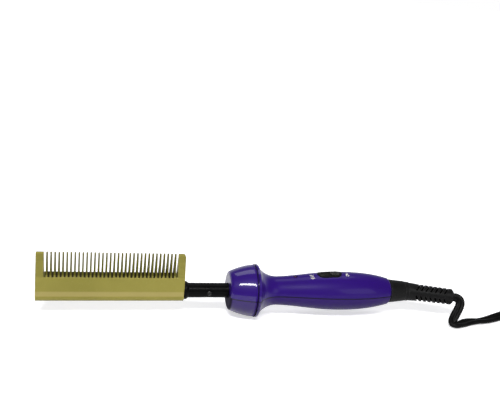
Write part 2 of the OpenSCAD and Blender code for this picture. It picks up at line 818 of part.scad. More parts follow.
module swivel_core() {
    color([0.85, 0.83, 0.78]) placed() union() {
        disc(core_hub_x - core_pin_len, core_pin_len + 1, core_pin_r);
        disc(core_hub_x, core_flange_x - core_hub_x + 0.5, core_hub_r);
        disc(core_flange_x, core_flange_len, core_flange_r);
        disc(core_flange_x + core_flange_len - 0.5, tail_x + 0.6 - core_flange_x - core_flange_len,
             core_tail_r);
    }
}

module slip_rings() {
    color([0.8, 0.62, 0.3]) placed() for (x = ring_xs)
        pipe(x, ring_len, ring_r, core_hub_r + fit);
}

// Leaf contacts, one on each side, that rub on the slip rings
module brush_contacts() {
    color([0.85, 0.55, 0.35]) placed() for (i = [0, 1]) scale([1, i == 0 ? 1 : -1, 1]) union() {
        box([ring_xs[i] + 0.3, -brush_y - brush_t, -5.6], [ring_xs[i] + ring_len - 0.3, -brush_y, 3.5]);
        box([ring_xs[i] + 0.3, -brush_y - brush_t, 3], [ring_xs[i] + ring_len - 0.3, -brush_y + 0.9, 3.5]);
    }
}

module mains_leads() {
    color([0.15, 0.15, 0.16]) placed() for (i = [0, 1]) scale([1, i == 0 ? 1 : -1, 1]) wire([
        [ring_xs[i] + 0.3 - touch, -brush_y - 0.2, -5.4], [screw_x + 2, -brush_y - 0.2, -5.4],
        [board_x + board_len + 2, -5.8, 0.6], [board_x + board_len - 3.5, -5.4, 0.6],
        [board_x + board_len - 3.5, -5.4, board_top + touch]
    ], 0.85);
}

// ---- Strain relief ------------------------------------------------------

// Past one kink or both, with x along the strain relief
module past_kinks(both) {
    translate([bend_x + kink, 0, 0]) rotate([0, 0, -boot_bend / 2])
        translate([both ? 2 * kink : 0, 0, 0]) rotate([0, 0, both ? -boot_bend / 2 : 0]) children();
}

module strain_relief() {
    color([0.06, 0.06, 0.06]) placed() difference() {
        union() {
            disc(core_flange_x + core_flange_len + touch,
                 tail_x + 1.5 - core_flange_x - core_flange_len, neck_r);
            turned([
                [tail_x + boot_gap, 0], [tail_x + boot_gap, boot_r - 0.5],
                [tail_x + boot_gap + 0.5, boot_r], [bend_x + kink + 0.35, bend_r + 0.15],
                [bend_x + kink + 0.35, 0]
            ]);
            past_kinks(false) turned([
                [-1, 0], [-1, bend_r + 0.15 - boot_step], [2 * kink + 0.35, bend_r - 0.25],
                [2 * kink + 0.35, 0]
            ]);
            past_kinks(true) rotate([-boot_roll, 0, 0]) translate([kink, 0, 0]) difference() {
                turned([
                    [-kink - 1, 0], [-kink - 1, bend_r - 0.25 - boot_step], [7, boot_rib_d / 2],
                    [boot_outer_len - boot_edge, boot_tip_d / 2],
                    [boot_outer_len, boot_tip_d / 2 - boot_edge], [boot_outer_len, 0]
                ]);
                for (i = [0 : boot_slots - 1]) boot_slot(boot_first_slot + i * boot_slot_pitch);
            }
        }
        disc(core_flange_x - 1, tail_x + 0.8 - core_flange_x + 1, core_tail_r + fit);
    }
}

// A pair of slots, above and below the web and slanted towards the tip, round the core
module boot_slot(u) {
    difference() {
        for (side = [0, 1]) mirror([0, 0, side]) translate([u, 0, boot_web / 2])
            rotate([0, boot_slot_tilt, 0]) box([0, -boot_r, 0], [boot_slot_w, boot_r, boot_r]);
        disc(u - 3, 16, boot_core_r);
    }
}

// ---- Cord and plug ------------------------------------------------------

// The route starts straight out of the strain relief, clear of it at every turn
route = concat([exit_point + turn_gap * exit_dir],
               [for (p = cord_route) [exit_point[0] + p[0], p[1], p[2]]]);

module power_cord() {
    color([0.05, 0.05, 0.05]) swept(route, cord_w, cord_t, cord_face, 8, cord_turns);
}

// Straight band with round ends, seen from above
module band_outline(run, r) {
    square([run, 2 * r], center = true);
    for (side = [-1, 1]) translate([side * run / 2, 0]) circle(r);
}

module cord_coil() {
    color([0.05, 0.05, 0.05]) translate([hank_x, hank_y, 0.1]) linear_extrude(hank_h) difference() {
        band_outline(hank_run, hank_end_r);
        band_outline(hank_run, hank_end_r - hank_band);
    }
}

// Twist tie round both runs of the hank
module cord_tie() {
    color([0.1, 0.1, 0.1]) translate([hank_x, hank_y, 0]) difference() {
        box([-2, -hank_end_r - 1.2, 0], [2, hank_end_r + 1.2, hank_h + 1.2]);
        box([-3, -hank_end_r - 0.3, -1], [3, hank_end_r + 0.3, hank_h + 0.4]);
    }
}

tail_start = [hank_x + hank_run / 2, hank_y + hank_end_r - cord_t / 2];
tail_route = [
    [tail_start[0] + 11.6, tail_start[1], 10.1], [tail_start[0] + 16, tail_start[1] - 0.5, 9.5],
    [tail_start[0] + 21, tail_start[1] - 2.7, 8.3], [tail_start[0] + 26, plug_y + 1.1, 7.1],
    [tail_start[0] + 30.5, plug_y, plug_h / 2 + 0.1],
    [plug_x - plug_len / 2 - plug_neck - touch, plug_y, plug_h / 2 + 0.1]
];
tail_turns = [90, 80, 55, 25, 0, 0];

module plug_tail() {
    color([0.05, 0.05, 0.05]) swept(tail_route, cord_w, cord_t, [0, 0, 1], 8, tail_turns);
}

// Moulded plug body, lying on the floor
module plug_body() {
    color([0.06, 0.06, 0.06]) translate([plug_x, plug_y, 0.1]) rotate([0, 0, 90]) difference() {
        union() {
            box([-plug_w / 2, -plug_len / 2, 0], [plug_w / 2, plug_len / 2 - 5, plug_h]);
            translate([0, plug_len / 2 - 5, plug_h / 2]) rotate([-90, 0, 0])
                cylinder(h = 5, r1 = plug_h / 2, r2 = 4.6);
            translate([0, plug_len / 2 - 1, plug_h / 2]) rotate([-90, 0, 0])
                cylinder(h = plug_neck + 1, r1 = 4.6, r2 = 3.9);
        }
        // finger grips
        for (side = [-1, 1]) translate([side * (plug_w / 2 + 8.6), 0, -1])
            cylinder(h = plug_h + 2, r = 10);
    }
}

module plug_blades() {
    color([0.8, 0.68, 0.4]) translate([plug_x, plug_y, 0.1]) rotate([0, 0, 90]) for (side = [-1, 1])
        box([side * blade_gap / 2 - blade_t / 2, -plug_len / 2 - blade_len, plug_h / 2 - blade_w / 2],
            [side * blade_gap / 2 + blade_t / 2, -plug_len / 2 - touch, plug_h / 2 + blade_w / 2]);
}

comb_head();
heater_plate();
heater_shoes();
mica_sheets();
temperature_sensor();
head_collar();
stem_tube();
stem_rivet();
stem_holder();
thermal_fuse();
heater_wires();
sensor_wires();
handle_upper_shell();
handle_lower_shell();
handle_screw();
circuit_board();
board_screws();
triac();
film_capacitor();
resistors();
indicator_led();
switch_plate();
switch_body();
switch_lever();
switch_slider();
swivel_core();
slip_rings();
brush_contacts();
mains_leads();
strain_relief();
power_cord();
cord_coil();
cord_tie();
plug_tail();
plug_body();
plug_blades();
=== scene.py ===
# %% [markdown]
# # An electric pressing comb, finished in Blender
# The model arrives as solid pieces in metres, each already in its place. Nothing is moved
# here. This lesson gives every piece its surface, lays the soft cord on the table, and sets
# up the light and the camera of a product picture.

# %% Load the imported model
import json
import math

import bmesh
import bpy
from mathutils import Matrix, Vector
from mathutils.bvhtree import BVHTree


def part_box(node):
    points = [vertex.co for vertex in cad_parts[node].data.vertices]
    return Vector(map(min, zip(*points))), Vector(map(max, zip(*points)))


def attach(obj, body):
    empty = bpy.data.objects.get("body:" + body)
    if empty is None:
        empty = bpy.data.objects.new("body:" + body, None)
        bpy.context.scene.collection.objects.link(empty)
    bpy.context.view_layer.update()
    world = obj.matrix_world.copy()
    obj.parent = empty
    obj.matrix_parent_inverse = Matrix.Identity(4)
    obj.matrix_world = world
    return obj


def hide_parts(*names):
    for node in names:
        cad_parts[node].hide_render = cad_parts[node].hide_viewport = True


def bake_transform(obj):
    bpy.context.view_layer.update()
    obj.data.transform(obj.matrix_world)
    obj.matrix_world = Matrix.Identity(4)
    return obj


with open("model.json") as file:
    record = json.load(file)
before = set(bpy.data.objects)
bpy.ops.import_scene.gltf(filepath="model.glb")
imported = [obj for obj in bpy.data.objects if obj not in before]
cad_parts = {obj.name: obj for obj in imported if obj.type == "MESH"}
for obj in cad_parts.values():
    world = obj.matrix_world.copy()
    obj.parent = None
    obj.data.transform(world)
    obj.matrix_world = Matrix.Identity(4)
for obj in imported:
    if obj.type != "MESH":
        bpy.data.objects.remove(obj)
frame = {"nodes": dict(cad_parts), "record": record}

MM = 0.001
X_AXIS, Y_AXIS, Z_AXIS = (1, 0, 0), (0, 1, 0), (0, 0, 1)
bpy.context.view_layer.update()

# %% [markdown]
# ## From corners to an object
# Most new pieces are made the same way: their corners and faces are gathered in a bmesh,
# which is written to a mesh, and an object shows that mesh. Two helpers keep the later cells
# short. The second one joins rings of corners into a closed tube, which is how a cord, a
# sleeve or any other long round thing is made.

# %% Make a piece, close a tube
def make_piece(name, form, material=None):
    mesh = bpy.data.meshes.new(name)
    form.to_mesh(mesh)
    form.free()
    piece = bpy.data.objects.new(name, mesh)
    bpy.context.scene.collection.objects.link(piece)
    if material is not None:
        mesh.materials.append(material)
    return piece


def close_tube(form, rings):
    """Join each ring to the next one, cap both ends, and smooth the whole tube."""
    count = len(rings[0])
    for ring, next_ring in zip(rings, rings[1:]):
        for k in range(count):
            n = (k + 1) % count
            form.faces.new((ring[k], ring[n], next_ring[n], next_ring[k]))
    form.faces.new(rings[0][::-1])
    form.faces.new(rings[-1])
    bmesh.ops.recalc_face_normals(form, faces=form.faces)
    for face in form.faces:
        face.smooth = True


print("helpers: make_piece, close_tube")

# %% [markdown]
# ## Camera
# A product picture is taken from a little above, so that the top of the handle and the
# switch show. The comb lies slightly turned, which makes its near end look larger. A lens
# of 52 mm on a 36 mm wide sensor from half a metre away gives that. The three axes of the
# camera are written out as they are, because they leave nothing to guess. The small shift
# moves the frame without tilting the camera, so the comb lies low in it.

# %% Place the camera
def aim_camera(spot, right, up, forward, lens, shift):
    data = bpy.data.cameras.new("product_camera")
    camera = bpy.data.objects.new("product_camera", data)
    bpy.context.scene.collection.objects.link(camera)
    data.lens, data.sensor_width = lens, 36.0
    data.shift_x, data.shift_y = shift
    data.clip_start, data.clip_end = 0.01, 20.0
    grid = camera.matrix_world
    for row in range(3):
        grid[row][0], grid[row][1] = right[row], up[row]
        grid[row][2], grid[row][3] = -forward[row], spot[row]
    camera.matrix_world = grid
    bpy.context.scene.camera = camera
    return camera


camera = aim_camera(
    spot=(-0.120136, -0.444190, 0.239435),
    right=(0.965558, -0.231277, 0.119203),
    up=(-0.030312, 0.355033, 0.934362),
    forward=(0.258417, 0.905794, -0.335794),
    lens=51.84, shift=(-0.0514, 0.0283),
)
bpy.context.scene.view_settings.view_transform = "Standard"
print("camera at", tuple(round(v, 3) for v in camera.matrix_world.translation))

# %% [markdown]
# ## The cord's route
# The cord is 1.8 m of flat twin lead, 6.8 mm wide and 3.4 mm thick. It leaves the strain
# relief, drops to the table, folds over itself and runs off to the side. The rest is folded
# into a hank, four turns side by side and two layers high, because a round coil would be
# wide for so slim a tool. A flat lead also has a face, so every point of the route carries
# the direction in which its width lies. Simulating a lead this long is slow, and the
# smallest change anywhere would lay it elsewhere, so the route is written down.

# %% Route: from the strain relief to the table
CORD_WIDTH, CORD_THICK = 6.8, 3.4
AXIS_HEIGHT = 18.6      # of the stem and the handle over the table
EXIT = Vector((147.428, -9.994, AXIS_HEIGHT))
OUTWARDS = Vector((0.961262, -0.275637, 0.0))
# the way the flat face looks in the drop, from which every turn below is counted
FACE = Vector((0.54, 0.72, -0.44))
# inside the strain relief: distances from the exit, and the turn of the face in degrees
INSIDE_RUN, INSIDE_TURN = (-6, -2, 0.8), 35
# forwards from the exit, sideways, height, and the turn of the face in degrees
FRONT_RUN = [
    (3.8, -11.2, 18.4, 25), (5.6, -12.6, 16.6, 0), (5.5, -14, 14, 0), (3.8, -15.5, 11.3, 0),
    (1.6, -17.2, 8.5, 0), (-0.6, -18.9, 5.6, 10), (-1.9, -20.5, 3.6, 35), (-2.1, -22, 2.5, 60),
    (-0.6, -23.1, 2.1, 75), (2.2, -22.6, 2, 55), (8.7, -19.8, 2.3, 25), (15, -17.4, 2, 50),
    (22, -16.9, 2, 70), (28.2, -16, 2.1, 50), (36.2, -13.3, 2.4, 25), (43, -11.1, 2.9, 5),
    (54, -6.3, 3.1, 0),
]


def width_direction(heading, turn):
    across = heading.cross(FACE).normalized()
    upright = across.cross(heading)
    return math.cos(math.radians(turn)) * across + math.sin(math.radians(turn)) * upright


def front_run():
    points = [EXIT + along * OUTWARDS for along in INSIDE_RUN]
    points += [Vector((EXIT.x + x, y, z)) for x, y, z, turn in FRONT_RUN]
    turns = [INSIDE_TURN] * len(INSIDE_RUN) + [turn for x, y, z, turn in FRONT_RUN]
    run = []
    for i, (point, turn) in enumerate(zip(points, turns)):
        before, after = points[max(i - 1, 0)], points[min(i + 1, len(points) - 1)]
        run.append((point, width_direction((after - before).normalized(), turn)))
    return run


print("front run:", len(front_run()), "points")

# %% [markdown]
# ## The hank
# A flat lead bends easily about its thin side only, so in the hank it stands on edge. Each
# turn is a run there, a round end, a run back and another round end. The step from one turn
# to the next one is taken along the way back, so no two turns cross.

# %% Route: the hank and the way to the plug
HANK = Vector((257.428, -14.0, 0.0))    # its middle, on the table
HALF_RUN = 35.0                         # half of a straight run
STRAIGHT_STEPS, END_STEPS = 5, 7        # points in a straight run and in a round end
LOW_LAYER, HIGH_LAYER = 3.5, 10.3       # heights of the cord's middle
ON_EDGE = Vector((0, 0, 1))             # the width stands up
# between the front run and the hank the width is nearly upright
APPROACH = (Vector((210.5, 0.5, 3.3)), Vector((0, 0.25, 1)).normalized())
# distance from the hank's middle line and height, for each turn
TURNS = [(18.3, LOW_LAYER), (14.8, LOW_LAYER), (11.3, LOW_LAYER), (7.8, LOW_LAYER),
         (7.8, HIGH_LAYER), (11.3, HIGH_LAYER), (14.8, HIGH_LAYER), (18.3, HIGH_LAYER)]
# from the hank's last turn to the plug: forwards, sideways, height, turn of the face
TAIL_RUN = [
    (0, 0, HIGH_LAYER, 90), (6, 0, HIGH_LAYER, 90), (11.6, 0, 10.1, 90), (16, -0.5, 9.5, 80),
    (21, -2.7, 8.3, 55), (26, -5.2, 7.1, 25), (30.5, -6.3, 6.6, 0), (38, -6.3, 6.6, 0)]


def straight(here, there, count=STRAIGHT_STEPS):
    return [here.lerp(there, k / count) for k in range(count)]


def round_end(side, radius, height, count=END_STEPS):
    """Half a circle, clockwise from above: side 1 is the end towards +x."""
    middle = HANK + Vector((side * HALF_RUN, 0, height))
    angles = [math.radians(90 * side - 180 * k / count) for k in range(count)]
    return [middle + radius * Vector((math.cos(a), math.sin(a), 0)) for a in angles]


def hank_run():
    """Points of all the turns; the last turn is only its run there, and the tail goes on."""
    points = []
    one_run = Vector((2 * HALF_RUN, 0, 0))
    for (out, height), (next_out, next_height) in zip(TURNS, TURNS[1:]):
        start = HANK + Vector((-HALF_RUN, out, height))
        points += straight(start, start + one_run)
        points += round_end(1, out, height)
        back = HANK + Vector((HALF_RUN, -out, height))
        points += straight(back, HANK + Vector((-HALF_RUN, -next_out, next_height)))
        points += round_end(-1, next_out, next_height)
    out, height = TURNS[-1]
    start = HANK + Vector((-HALF_RUN, out, height))
    return points + straight(start, start + one_run)


def hank_and_tail():
    last = HANK + Vector((HALF_RUN, TURNS[-1][0], 0))
    run = [APPROACH] + [(point, ON_EDGE) for point in hank_run()]
    for forwards, sideways, height, degrees in TAIL_RUN:
        turn = math.radians(degrees)
        side = Vector((0, math.cos(turn), math.sin(turn)))
        run.append((last + Vector((forwards, sideways, height)), side))
    return run


print("hank and tail:", len(hank_and_tail()), "points")

# %% [markdown]
# ## One smooth line
# A Catmull-Rom spline goes through all its points, which a Bezier or NURBS curve with the
# same points would not. Each stretch is cut into short steps, finer where the cord bends
# hard, and the sharp fold on the table is then rounded off by averaging.

# %% Smooth the route
FRONT_STEPS, HANK_STEPS = 5, 4      # steps between two points of the route
FOLD_FROM, FOLD_MARGIN = 14, 8      # steps left as they are at both ends of the front run
FOLD_PASSES = 14


def between(a, b, c, d, t):
    """Catmull-Rom: a point between b and c, where a and d are their outer neighbours."""
    return 0.5 * (2 * b + (c - a) * t + (2 * a - 5 * b + 4 * c - d) * t * t
                  + (3 * b - a - 3 * c + d) * t * t * t)


def smooth_route(run, steps_for):
    line = []
    last = len(run) - 1
    for i in range(last):
        around = [run[min(max(k, 0), last)] for k in (i - 1, i, i + 1, i + 2)]
        steps = steps_for(i)
        for step in range(steps):
            t = step / steps
            point = between(*[p for p, side in around], t)
            side = run[i][1].lerp(run[i + 1][1], t)
            line.append((point, side))
    line.append(run[last])
    return line


def relax(line, first, last, passes):
    """Average each point with its neighbours, which rounds a fold off a little."""
    for _ in range(passes):
        line = [(0.25 * line[i - 1][0] + 0.5 * point + 0.25 * line[i + 1][0], side)
                if first <= i < last else (point, side)
                for i, (point, side) in enumerate(line)]
    return line


bends = len(front_run())
cord_line = smooth_route(front_run() + hank_and_tail(),
                         lambda i: FRONT_STEPS if i < bends else HANK_STEPS)
cord_line = relax(cord_line, FOLD_FROM, FRONT_STEPS * bends - FOLD_MARGIN, FOLD_PASSES)
drawn_length = sum((b[0] - a[0]).length for a, b in zip(cord_line, cord_line[1:]))
print("cord line:", len(cord_line), "points,", round(drawn_length), "mm")

# %% [markdown]
# ## The cord's body
# Two round insulated strands lie side by side and are joined by a web, so the section is
# like a figure eight. The same section is placed at every point of the line and joined to
# the next one. A bevelled curve can do that too, but it can't be told how its face turns.

# %% Section of a flat twin lead
def twin_section(count=14, reach=128, web_half=0.25, web_rise=0.62):
    """Each strand's arc reaches that many degrees to both sides, and the web fills the rest."""
    strand = CORD_THICK / 2
    half = CORD_WIDTH / 2 - strand
    outline = []
    for side in (1, -1):
        for k in range(count):
            angle = math.radians(-reach + 2 * reach * k / (count - 1))
            outline.append((side * (half + strand * math.cos(angle)),
                            side * strand * math.sin(angle)))
        outline.append((side * web_half, side * strand * web_rise))
        outline.append((-side * web_half, side * strand * web_rise))
    return outline


print("section:", len(twin_section()), "corners")

# %% [markdown]
# ## From the swivel to the table
# The cord is one piece, so it stands for all the plain solids of the cord. It hangs on a
# swivel that turns, while the rest of it stays on the table.


def build_cord(line):
    section = twin_section()
    form = bmesh.new()
    rings = []
    for i, (point, side) in enumerate(line):
        heading = (line[min(i + 1, len(line) - 1)][0] - line[max(i - 1, 0)][0]).normalized()
        side = (side - heading * side.dot(heading)).normalized()
        face = heading.cross(side)
        rings.append([form.verts.new((point + a * side + b * face) * MM) for a, b in section])
    close_tube(form, rings)
    return make_piece("mains_cord", form)


mains_cord = build_cord(cord_line)
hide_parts("power_cord", "cord_coil", "plug_tail")
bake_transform(mains_cord)
print("cord faces:", len(mains_cord.data.polygons))

# %% [markdown]
# ## Node helpers
# A procedural material is a small tree of nodes. A few helpers keep the trees readable: one
# makes a node and sets its sockets, one joins two sockets, one opens a new group with named
# sockets, and one does a piece of arithmetic with numbers or sockets.

# %% Helpers for node trees
def node(tree, kind, **settings):
    made = tree.nodes.new("ShaderNode" + kind)
    for name, value in settings.items():
        if hasattr(made, name):
            setattr(made, name, value)
        else:
            made.inputs[name.replace("_", " ")].default_value = value
    return made


def link(tree, source, target):
    tree.links.new(source, target)


def open_group(name, inputs, outputs):
    group = bpy.data.node_groups.new(name, "ShaderNodeTree")
    for label, kind, value in inputs:
        socket = group.interface.new_socket(
            label, in_out="INPUT", socket_type="NodeSocket" + kind)
        if value is not None:
            socket.default_value = value
    for label, kind in outputs:
        group.interface.new_socket(label, in_out="OUTPUT", socket_type="NodeSocket" + kind)
    return group, group.nodes.new("NodeGroupInput"), group.nodes.new("NodeGroupOutput")


def math_node(tree, kind, a, b=None, c=None, clamp=False):
    made = tree.nodes.new("ShaderNodeMath")
    made.operation, made.use_clamp = kind, clamp
    for socket, value in zip(made.inputs, (a, b, c)):
        if value is None:
            continue
        if isinstance(value, (int, float)):
            socket.default_value = value
        else:
            tree.links.new(value, socket)
    return made.outputs[0]


print("helpers: node, link, open_group, math_node")

# %% [markdown]
# ## Shared effect: fine grain
# No moulded or plated surface is perfectly even. Object coordinates are in metres and stay
# with the piece, so a noise of scale 1500 has grains of less than a millimetre. The group
# gives a height for the bump, a slow stain for colour and gloss, and a mask of small flecks,
# which are about twice the size of a grain.

# %% Group: fine grain
def build_fine_grain(fleck_scale=0.45):
    group, given, result = open_group(
        "fine_grain",
        [("Grain Scale", "Float", 1500.0), ("Stain Scale", "Float", 30.0),
         ("Stretch", "Vector", (1.0, 1.0, 1.0))],
        [("Height", "Float"), ("Stain", "Float"), ("Fleck", "Float")])
    place = node(group, "TexCoord")
    stretched = node(group, "VectorMath", operation="MULTIPLY")
    link(group, place.outputs["Object"], stretched.inputs[0])
    link(group, given.outputs["Stretch"], stretched.inputs[1])
    grain = node(group, "TexNoise", Detail=3.0, Roughness=0.6)
    stain = node(group, "TexNoise", Detail=4.0, Roughness=0.55)
    fleck = node(group, "TexNoise", Detail=1.0, Roughness=0.5)
    for texture, scale in ((grain, "Grain Scale"), (stain, "Stain Scale")):
        link(group, stretched.outputs[0], texture.inputs["Vector"])
        link(group, given.outputs[scale], texture.inputs["Scale"])
    link(group, stretched.outputs[0], fleck.inputs["Vector"])
    link(group, math_node(group, "MULTIPLY", given.outputs["Grain Scale"], fleck_scale),
         fleck.inputs["Scale"])
    soft = node(group, "MapRange", From_Min=0.3, From_Max=0.7)
    link(group, stain.outputs[0], soft.inputs["Value"])
    sharp = node(group, "MapRange", From_Min=0.62, From_Max=0.74)
    link(group, fleck.outputs[0], sharp.inputs["Value"])
    link(group, grain.outputs[0], result.inputs["Height"])
    link(group, soft.outputs[0], result.inputs["Stain"])
    link(group, sharp.outputs[0], result.inputs["Fleck"])
    return group


fine_grain = build_fine_grain()
print("group:", fine_grain.name, len(fine_grain.nodes), "nodes")

# %% [markdown]
# ## Shared effect: soft edges
# Real edges are never razor sharp: they are slightly round, and a hand or a hair rubs them
# bright. The Bevel node bends the normals near an edge without changing the mesh. Where the
# bent normal and the true one differ, there is an edge, and that difference is the mask.

# %% Group: soft edges
def build_soft_edges():
    group, given, result = open_group(
        "soft_edges", [("Radius", "Float", 0.0003)], [("Normal", "Vector"), ("Edge", "Float")])
    bevel = node(group, "Bevel", samples=6)
    true_side = node(group, "NewGeometry")
    link(group, given.outputs["Radius"], bevel.inputs["Radius"])
    same = node(group, "VectorMath", operation="DOT_PRODUCT")
    link(group, bevel.outputs["Normal"], same.inputs[0])
    link(group, true_side.outputs["Normal"], same.inputs[1])
    edge = node(group, "MapRange", From_Min=0.995, From_Max=0.86)
    link(group, same.outputs["Value"], edge.inputs["Value"])
    link(group, bevel.outputs["Normal"], result.inputs["Normal"])
    link(group, edge.outputs[0], result.inputs["Edge"])
    return group


soft_edges = build_soft_edges()
print("group:", soft_edges.name)

# %% [markdown]
# ## A recipe for a finish
# Most finishes differ only in numbers: two colours that the stain mixes, a colour for worn
# edges, a range of roughness, and how deep the grain is. One recipe builds them all, and the
# Principled shader stays in the material itself. The same stain drives colour and roughness,
# as it does on a real surface.

# %% Recipe: build a finish
def place_group(tree, group, **values):
    made = tree.nodes.new("ShaderNodeGroup")
    made.node_tree = group
    for name, value in values.items():
        made.inputs[name.replace("_", " ")].default_value = value
    return made


def blend_colours(tree, factor, a, b):
    made = tree.nodes.new("ShaderNodeMix")
    made.data_type = "RGBA"
    for socket, value in ((made.inputs[0], factor), (made.inputs[6], a), (made.inputs[7], b)):
        if isinstance(value, (int, float)):
            socket.default_value = value
        elif isinstance(value, tuple):
            socket.default_value = (*value, 1.0)
        else:
            tree.links.new(value, socket)
    return made.outputs[2]


finish = {}


def build_finish(name, colour, stained, worn, rough=(0.3, 0.4), metal=0.0, grain=1500.0,
                 stain=30.0, stretch=(1, 1, 1), bump=0.02, edge=0.0003, edge_strength=0.5,
                 fleck=0.0, **constant):
    """Build a material, keep it in finish by its name, and set constant sockets as given."""
    material = bpy.data.materials.new(name)
    material.use_nodes = True
    tree = material.node_tree
    shader = tree.nodes["Principled BSDF"]
    texture = place_group(tree, fine_grain, Grain_Scale=grain, Stain_Scale=stain,
                          Stretch=stretch)
    edges = place_group(tree, soft_edges, Radius=edge)
    wear = math_node(tree, "MULTIPLY", edges.outputs["Edge"], edge_strength)
    body = blend_colours(tree, texture.outputs["Stain"], colour, stained)
    if fleck:
        body = blend_colours(tree, math_node(tree, "MULTIPLY", texture.outputs["Fleck"], fleck),
                             body, worn)
    link(tree, blend_colours(tree, wear, body, worn), shader.inputs["Base Color"])
    gloss = node(tree, "MapRange", To_Min=rough[0], To_Max=rough[1])
    link(tree, texture.outputs["Stain"], gloss.inputs["Value"])
    link(tree, gloss.outputs[0], shader.inputs["Roughness"])
    relief = node(tree, "Bump", Strength=bump, Distance=0.0002)
    link(tree, texture.outputs["Height"], relief.inputs["Height"])
    link(tree, edges.outputs["Normal"], relief.inputs["Normal"])
    link(tree, relief.outputs[0], shader.inputs["Normal"])
    shader.inputs["Metallic"].default_value = metal
    for label, value in constant.items():
        shader.inputs[label.replace("_", " ")].default_value = value
    finish[name] = material


print("helpers: place_group, blend_colours, build_finish")

# %% [markdown]
# ## Marks over a finish
# Wear, dirt, painted shade and painted highlights lie over a finish at one place. The place
# comes as a mask, and the colour and roughness that the shader already gets are mixed with
# those of the mark. Where a mark needs more than one condition, such as low and inside a slot,
# its masks are multiplied.

# %% Tint where a mask says
def tint(material, mask, strength, colour, rough=None):
    """Lay another colour, and gloss, over a finish where the mask is 1."""
    tree = material.node_tree
    shader = tree.nodes["Principled BSDF"]
    mask = math_node(tree, "MULTIPLY", mask, strength)
    below = shader.inputs["Base Color"].links[0].from_socket
    link(tree, blend_colours(tree, mask, below, colour), shader.inputs["Base Color"])
    if rough is not None:
        below = shader.inputs["Roughness"].links[0].from_socket
        mix = node(tree, "Mix")
        link(tree, mask, mix.inputs[0])
        link(tree, below, mix.inputs[2])
        mix.inputs[3].default_value = rough
        link(tree, mix.outputs[0], shader.inputs["Roughness"])


def overlap(material, first, *others):
    """A mask of the place that lies in all the given masks."""
    for mask in others:
        first = math_node(material.node_tree, "MULTIPLY", first, mask)
    return first


print("helpers: tint, overlap")

# %% [markdown]
# ## Shared effect: a zone of the object
# Some changes sit at one place: painted shade in the slots, dirt in a seam, painted shade on a
# lip. The zone group turns two distances along one axis into a mask that rises over a soft
# border, falls again over the same border, and reads the object's own coordinates, so it never
# slides. A zone that is open at one end is given a distance well past the piece there.

# %% Group: zone
def build_zone():
    group, given, result = open_group(
        "zone", [("Axis", "Vector", (0, 0, 1)), ("From", "Float", 0.0), ("To", "Float", 0.01),
                 ("Border", "Float", 0.001)], [("Mask", "Float")])
    place = node(group, "TexCoord")
    along = node(group, "VectorMath", operation="DOT_PRODUCT")
    link(group, place.outputs["Object"], along.inputs[0])
    link(group, given.outputs["Axis"], along.inputs[1])
    rise = math_node(group, "DIVIDE", math_node(
        group, "SUBTRACT", along.outputs["Value"], given.outputs["From"]),
        given.outputs["Border"])
    fall = math_node(group, "DIVIDE", math_node(
        group, "SUBTRACT", given.outputs["To"], along.outputs["Value"]),
        given.outputs["Border"])
    inside = math_node(group, "MINIMUM", rise, fall)
    link(group, math_node(group, "ADD", inside, 0.5, clamp=True), result.inputs["Mask"])
    return group


zone = build_zone()


def zone_mask(material, axis, low, high, border):
    """Mask of a zone from low to high along an axis, all in millimetres."""
    made = place_group(material.node_tree, zone, Axis=axis, From=low * MM, To=high * MM,
                       Border=border * MM)
    return made.outputs["Mask"]


print("group:", zone.name, len(zone.nodes), "nodes")

# %% [markdown]
# ## Metals
# The head is cast aluminium with a satin gold plate, blasted before plating, so its shine is
# broad. The stem is coated with black enamel, and its rivet with a greyer one, which is a
# painted glint. Screws are plain steel, and the contacts are brass.

# %% Finishes for the metal pieces
build_finish(
    "gold_plate", colour=(0.310, 0.275, 0.066), stained=(0.262, 0.234, 0.054),
    worn=(0.42, 0.38, 0.13), rough=(0.40, 0.50), metal=0.75, grain=2600.0, stain=22.0,
    bump=0.12, edge=0.0004, edge_strength=0.55, fleck=0.15, Specular_IOR_Level=0.12)
build_finish(
    "black_enamel", colour=(0.0020, 0.0020, 0.0022), stained=(0.0035, 0.0035, 0.0037),
    worn=(0.018, 0.018, 0.018), rough=(0.26, 0.36), grain=1800.0, bump=0.06, edge=0.0003,
    Specular_IOR_Level=0.045)
# the rivet's greyer colour is a painted glint; its lower roughness is its own gloss
build_finish(
    "rivet_glint_enamel", colour=(0.010, 0.010, 0.010), stained=(0.016, 0.016, 0.016),
    worn=(0.05, 0.05, 0.05), rough=(0.20, 0.30), grain=1800.0, bump=0.06, edge=0.0001,
    Specular_IOR_Level=0.15)
build_finish(
    "steel", colour=(0.58, 0.58, 0.60), stained=(0.50, 0.50, 0.52), worn=(0.75, 0.75, 0.75),
    rough=(0.25, 0.4), metal=1.0, grain=3000.0, stretch=(1, 6, 1), bump=0.05)
build_finish(
    "bare_aluminium", colour=(0.62, 0.63, 0.65), stained=(0.5, 0.51, 0.53),
    worn=(0.8, 0.8, 0.8), rough=(0.3, 0.45), metal=1.0, grain=1600.0, stretch=(0.1, 3, 3),
    bump=0.08)
build_finish(
    "contact_brass", colour=(0.62, 0.42, 0.14), stained=(0.50, 0.31, 0.09),
    worn=(0.78, 0.62, 0.30), rough=(0.22, 0.4), metal=1.0, grain=2400.0, stretch=(1, 5, 1),
    bump=0.05)
print("metals:", sorted(finish))
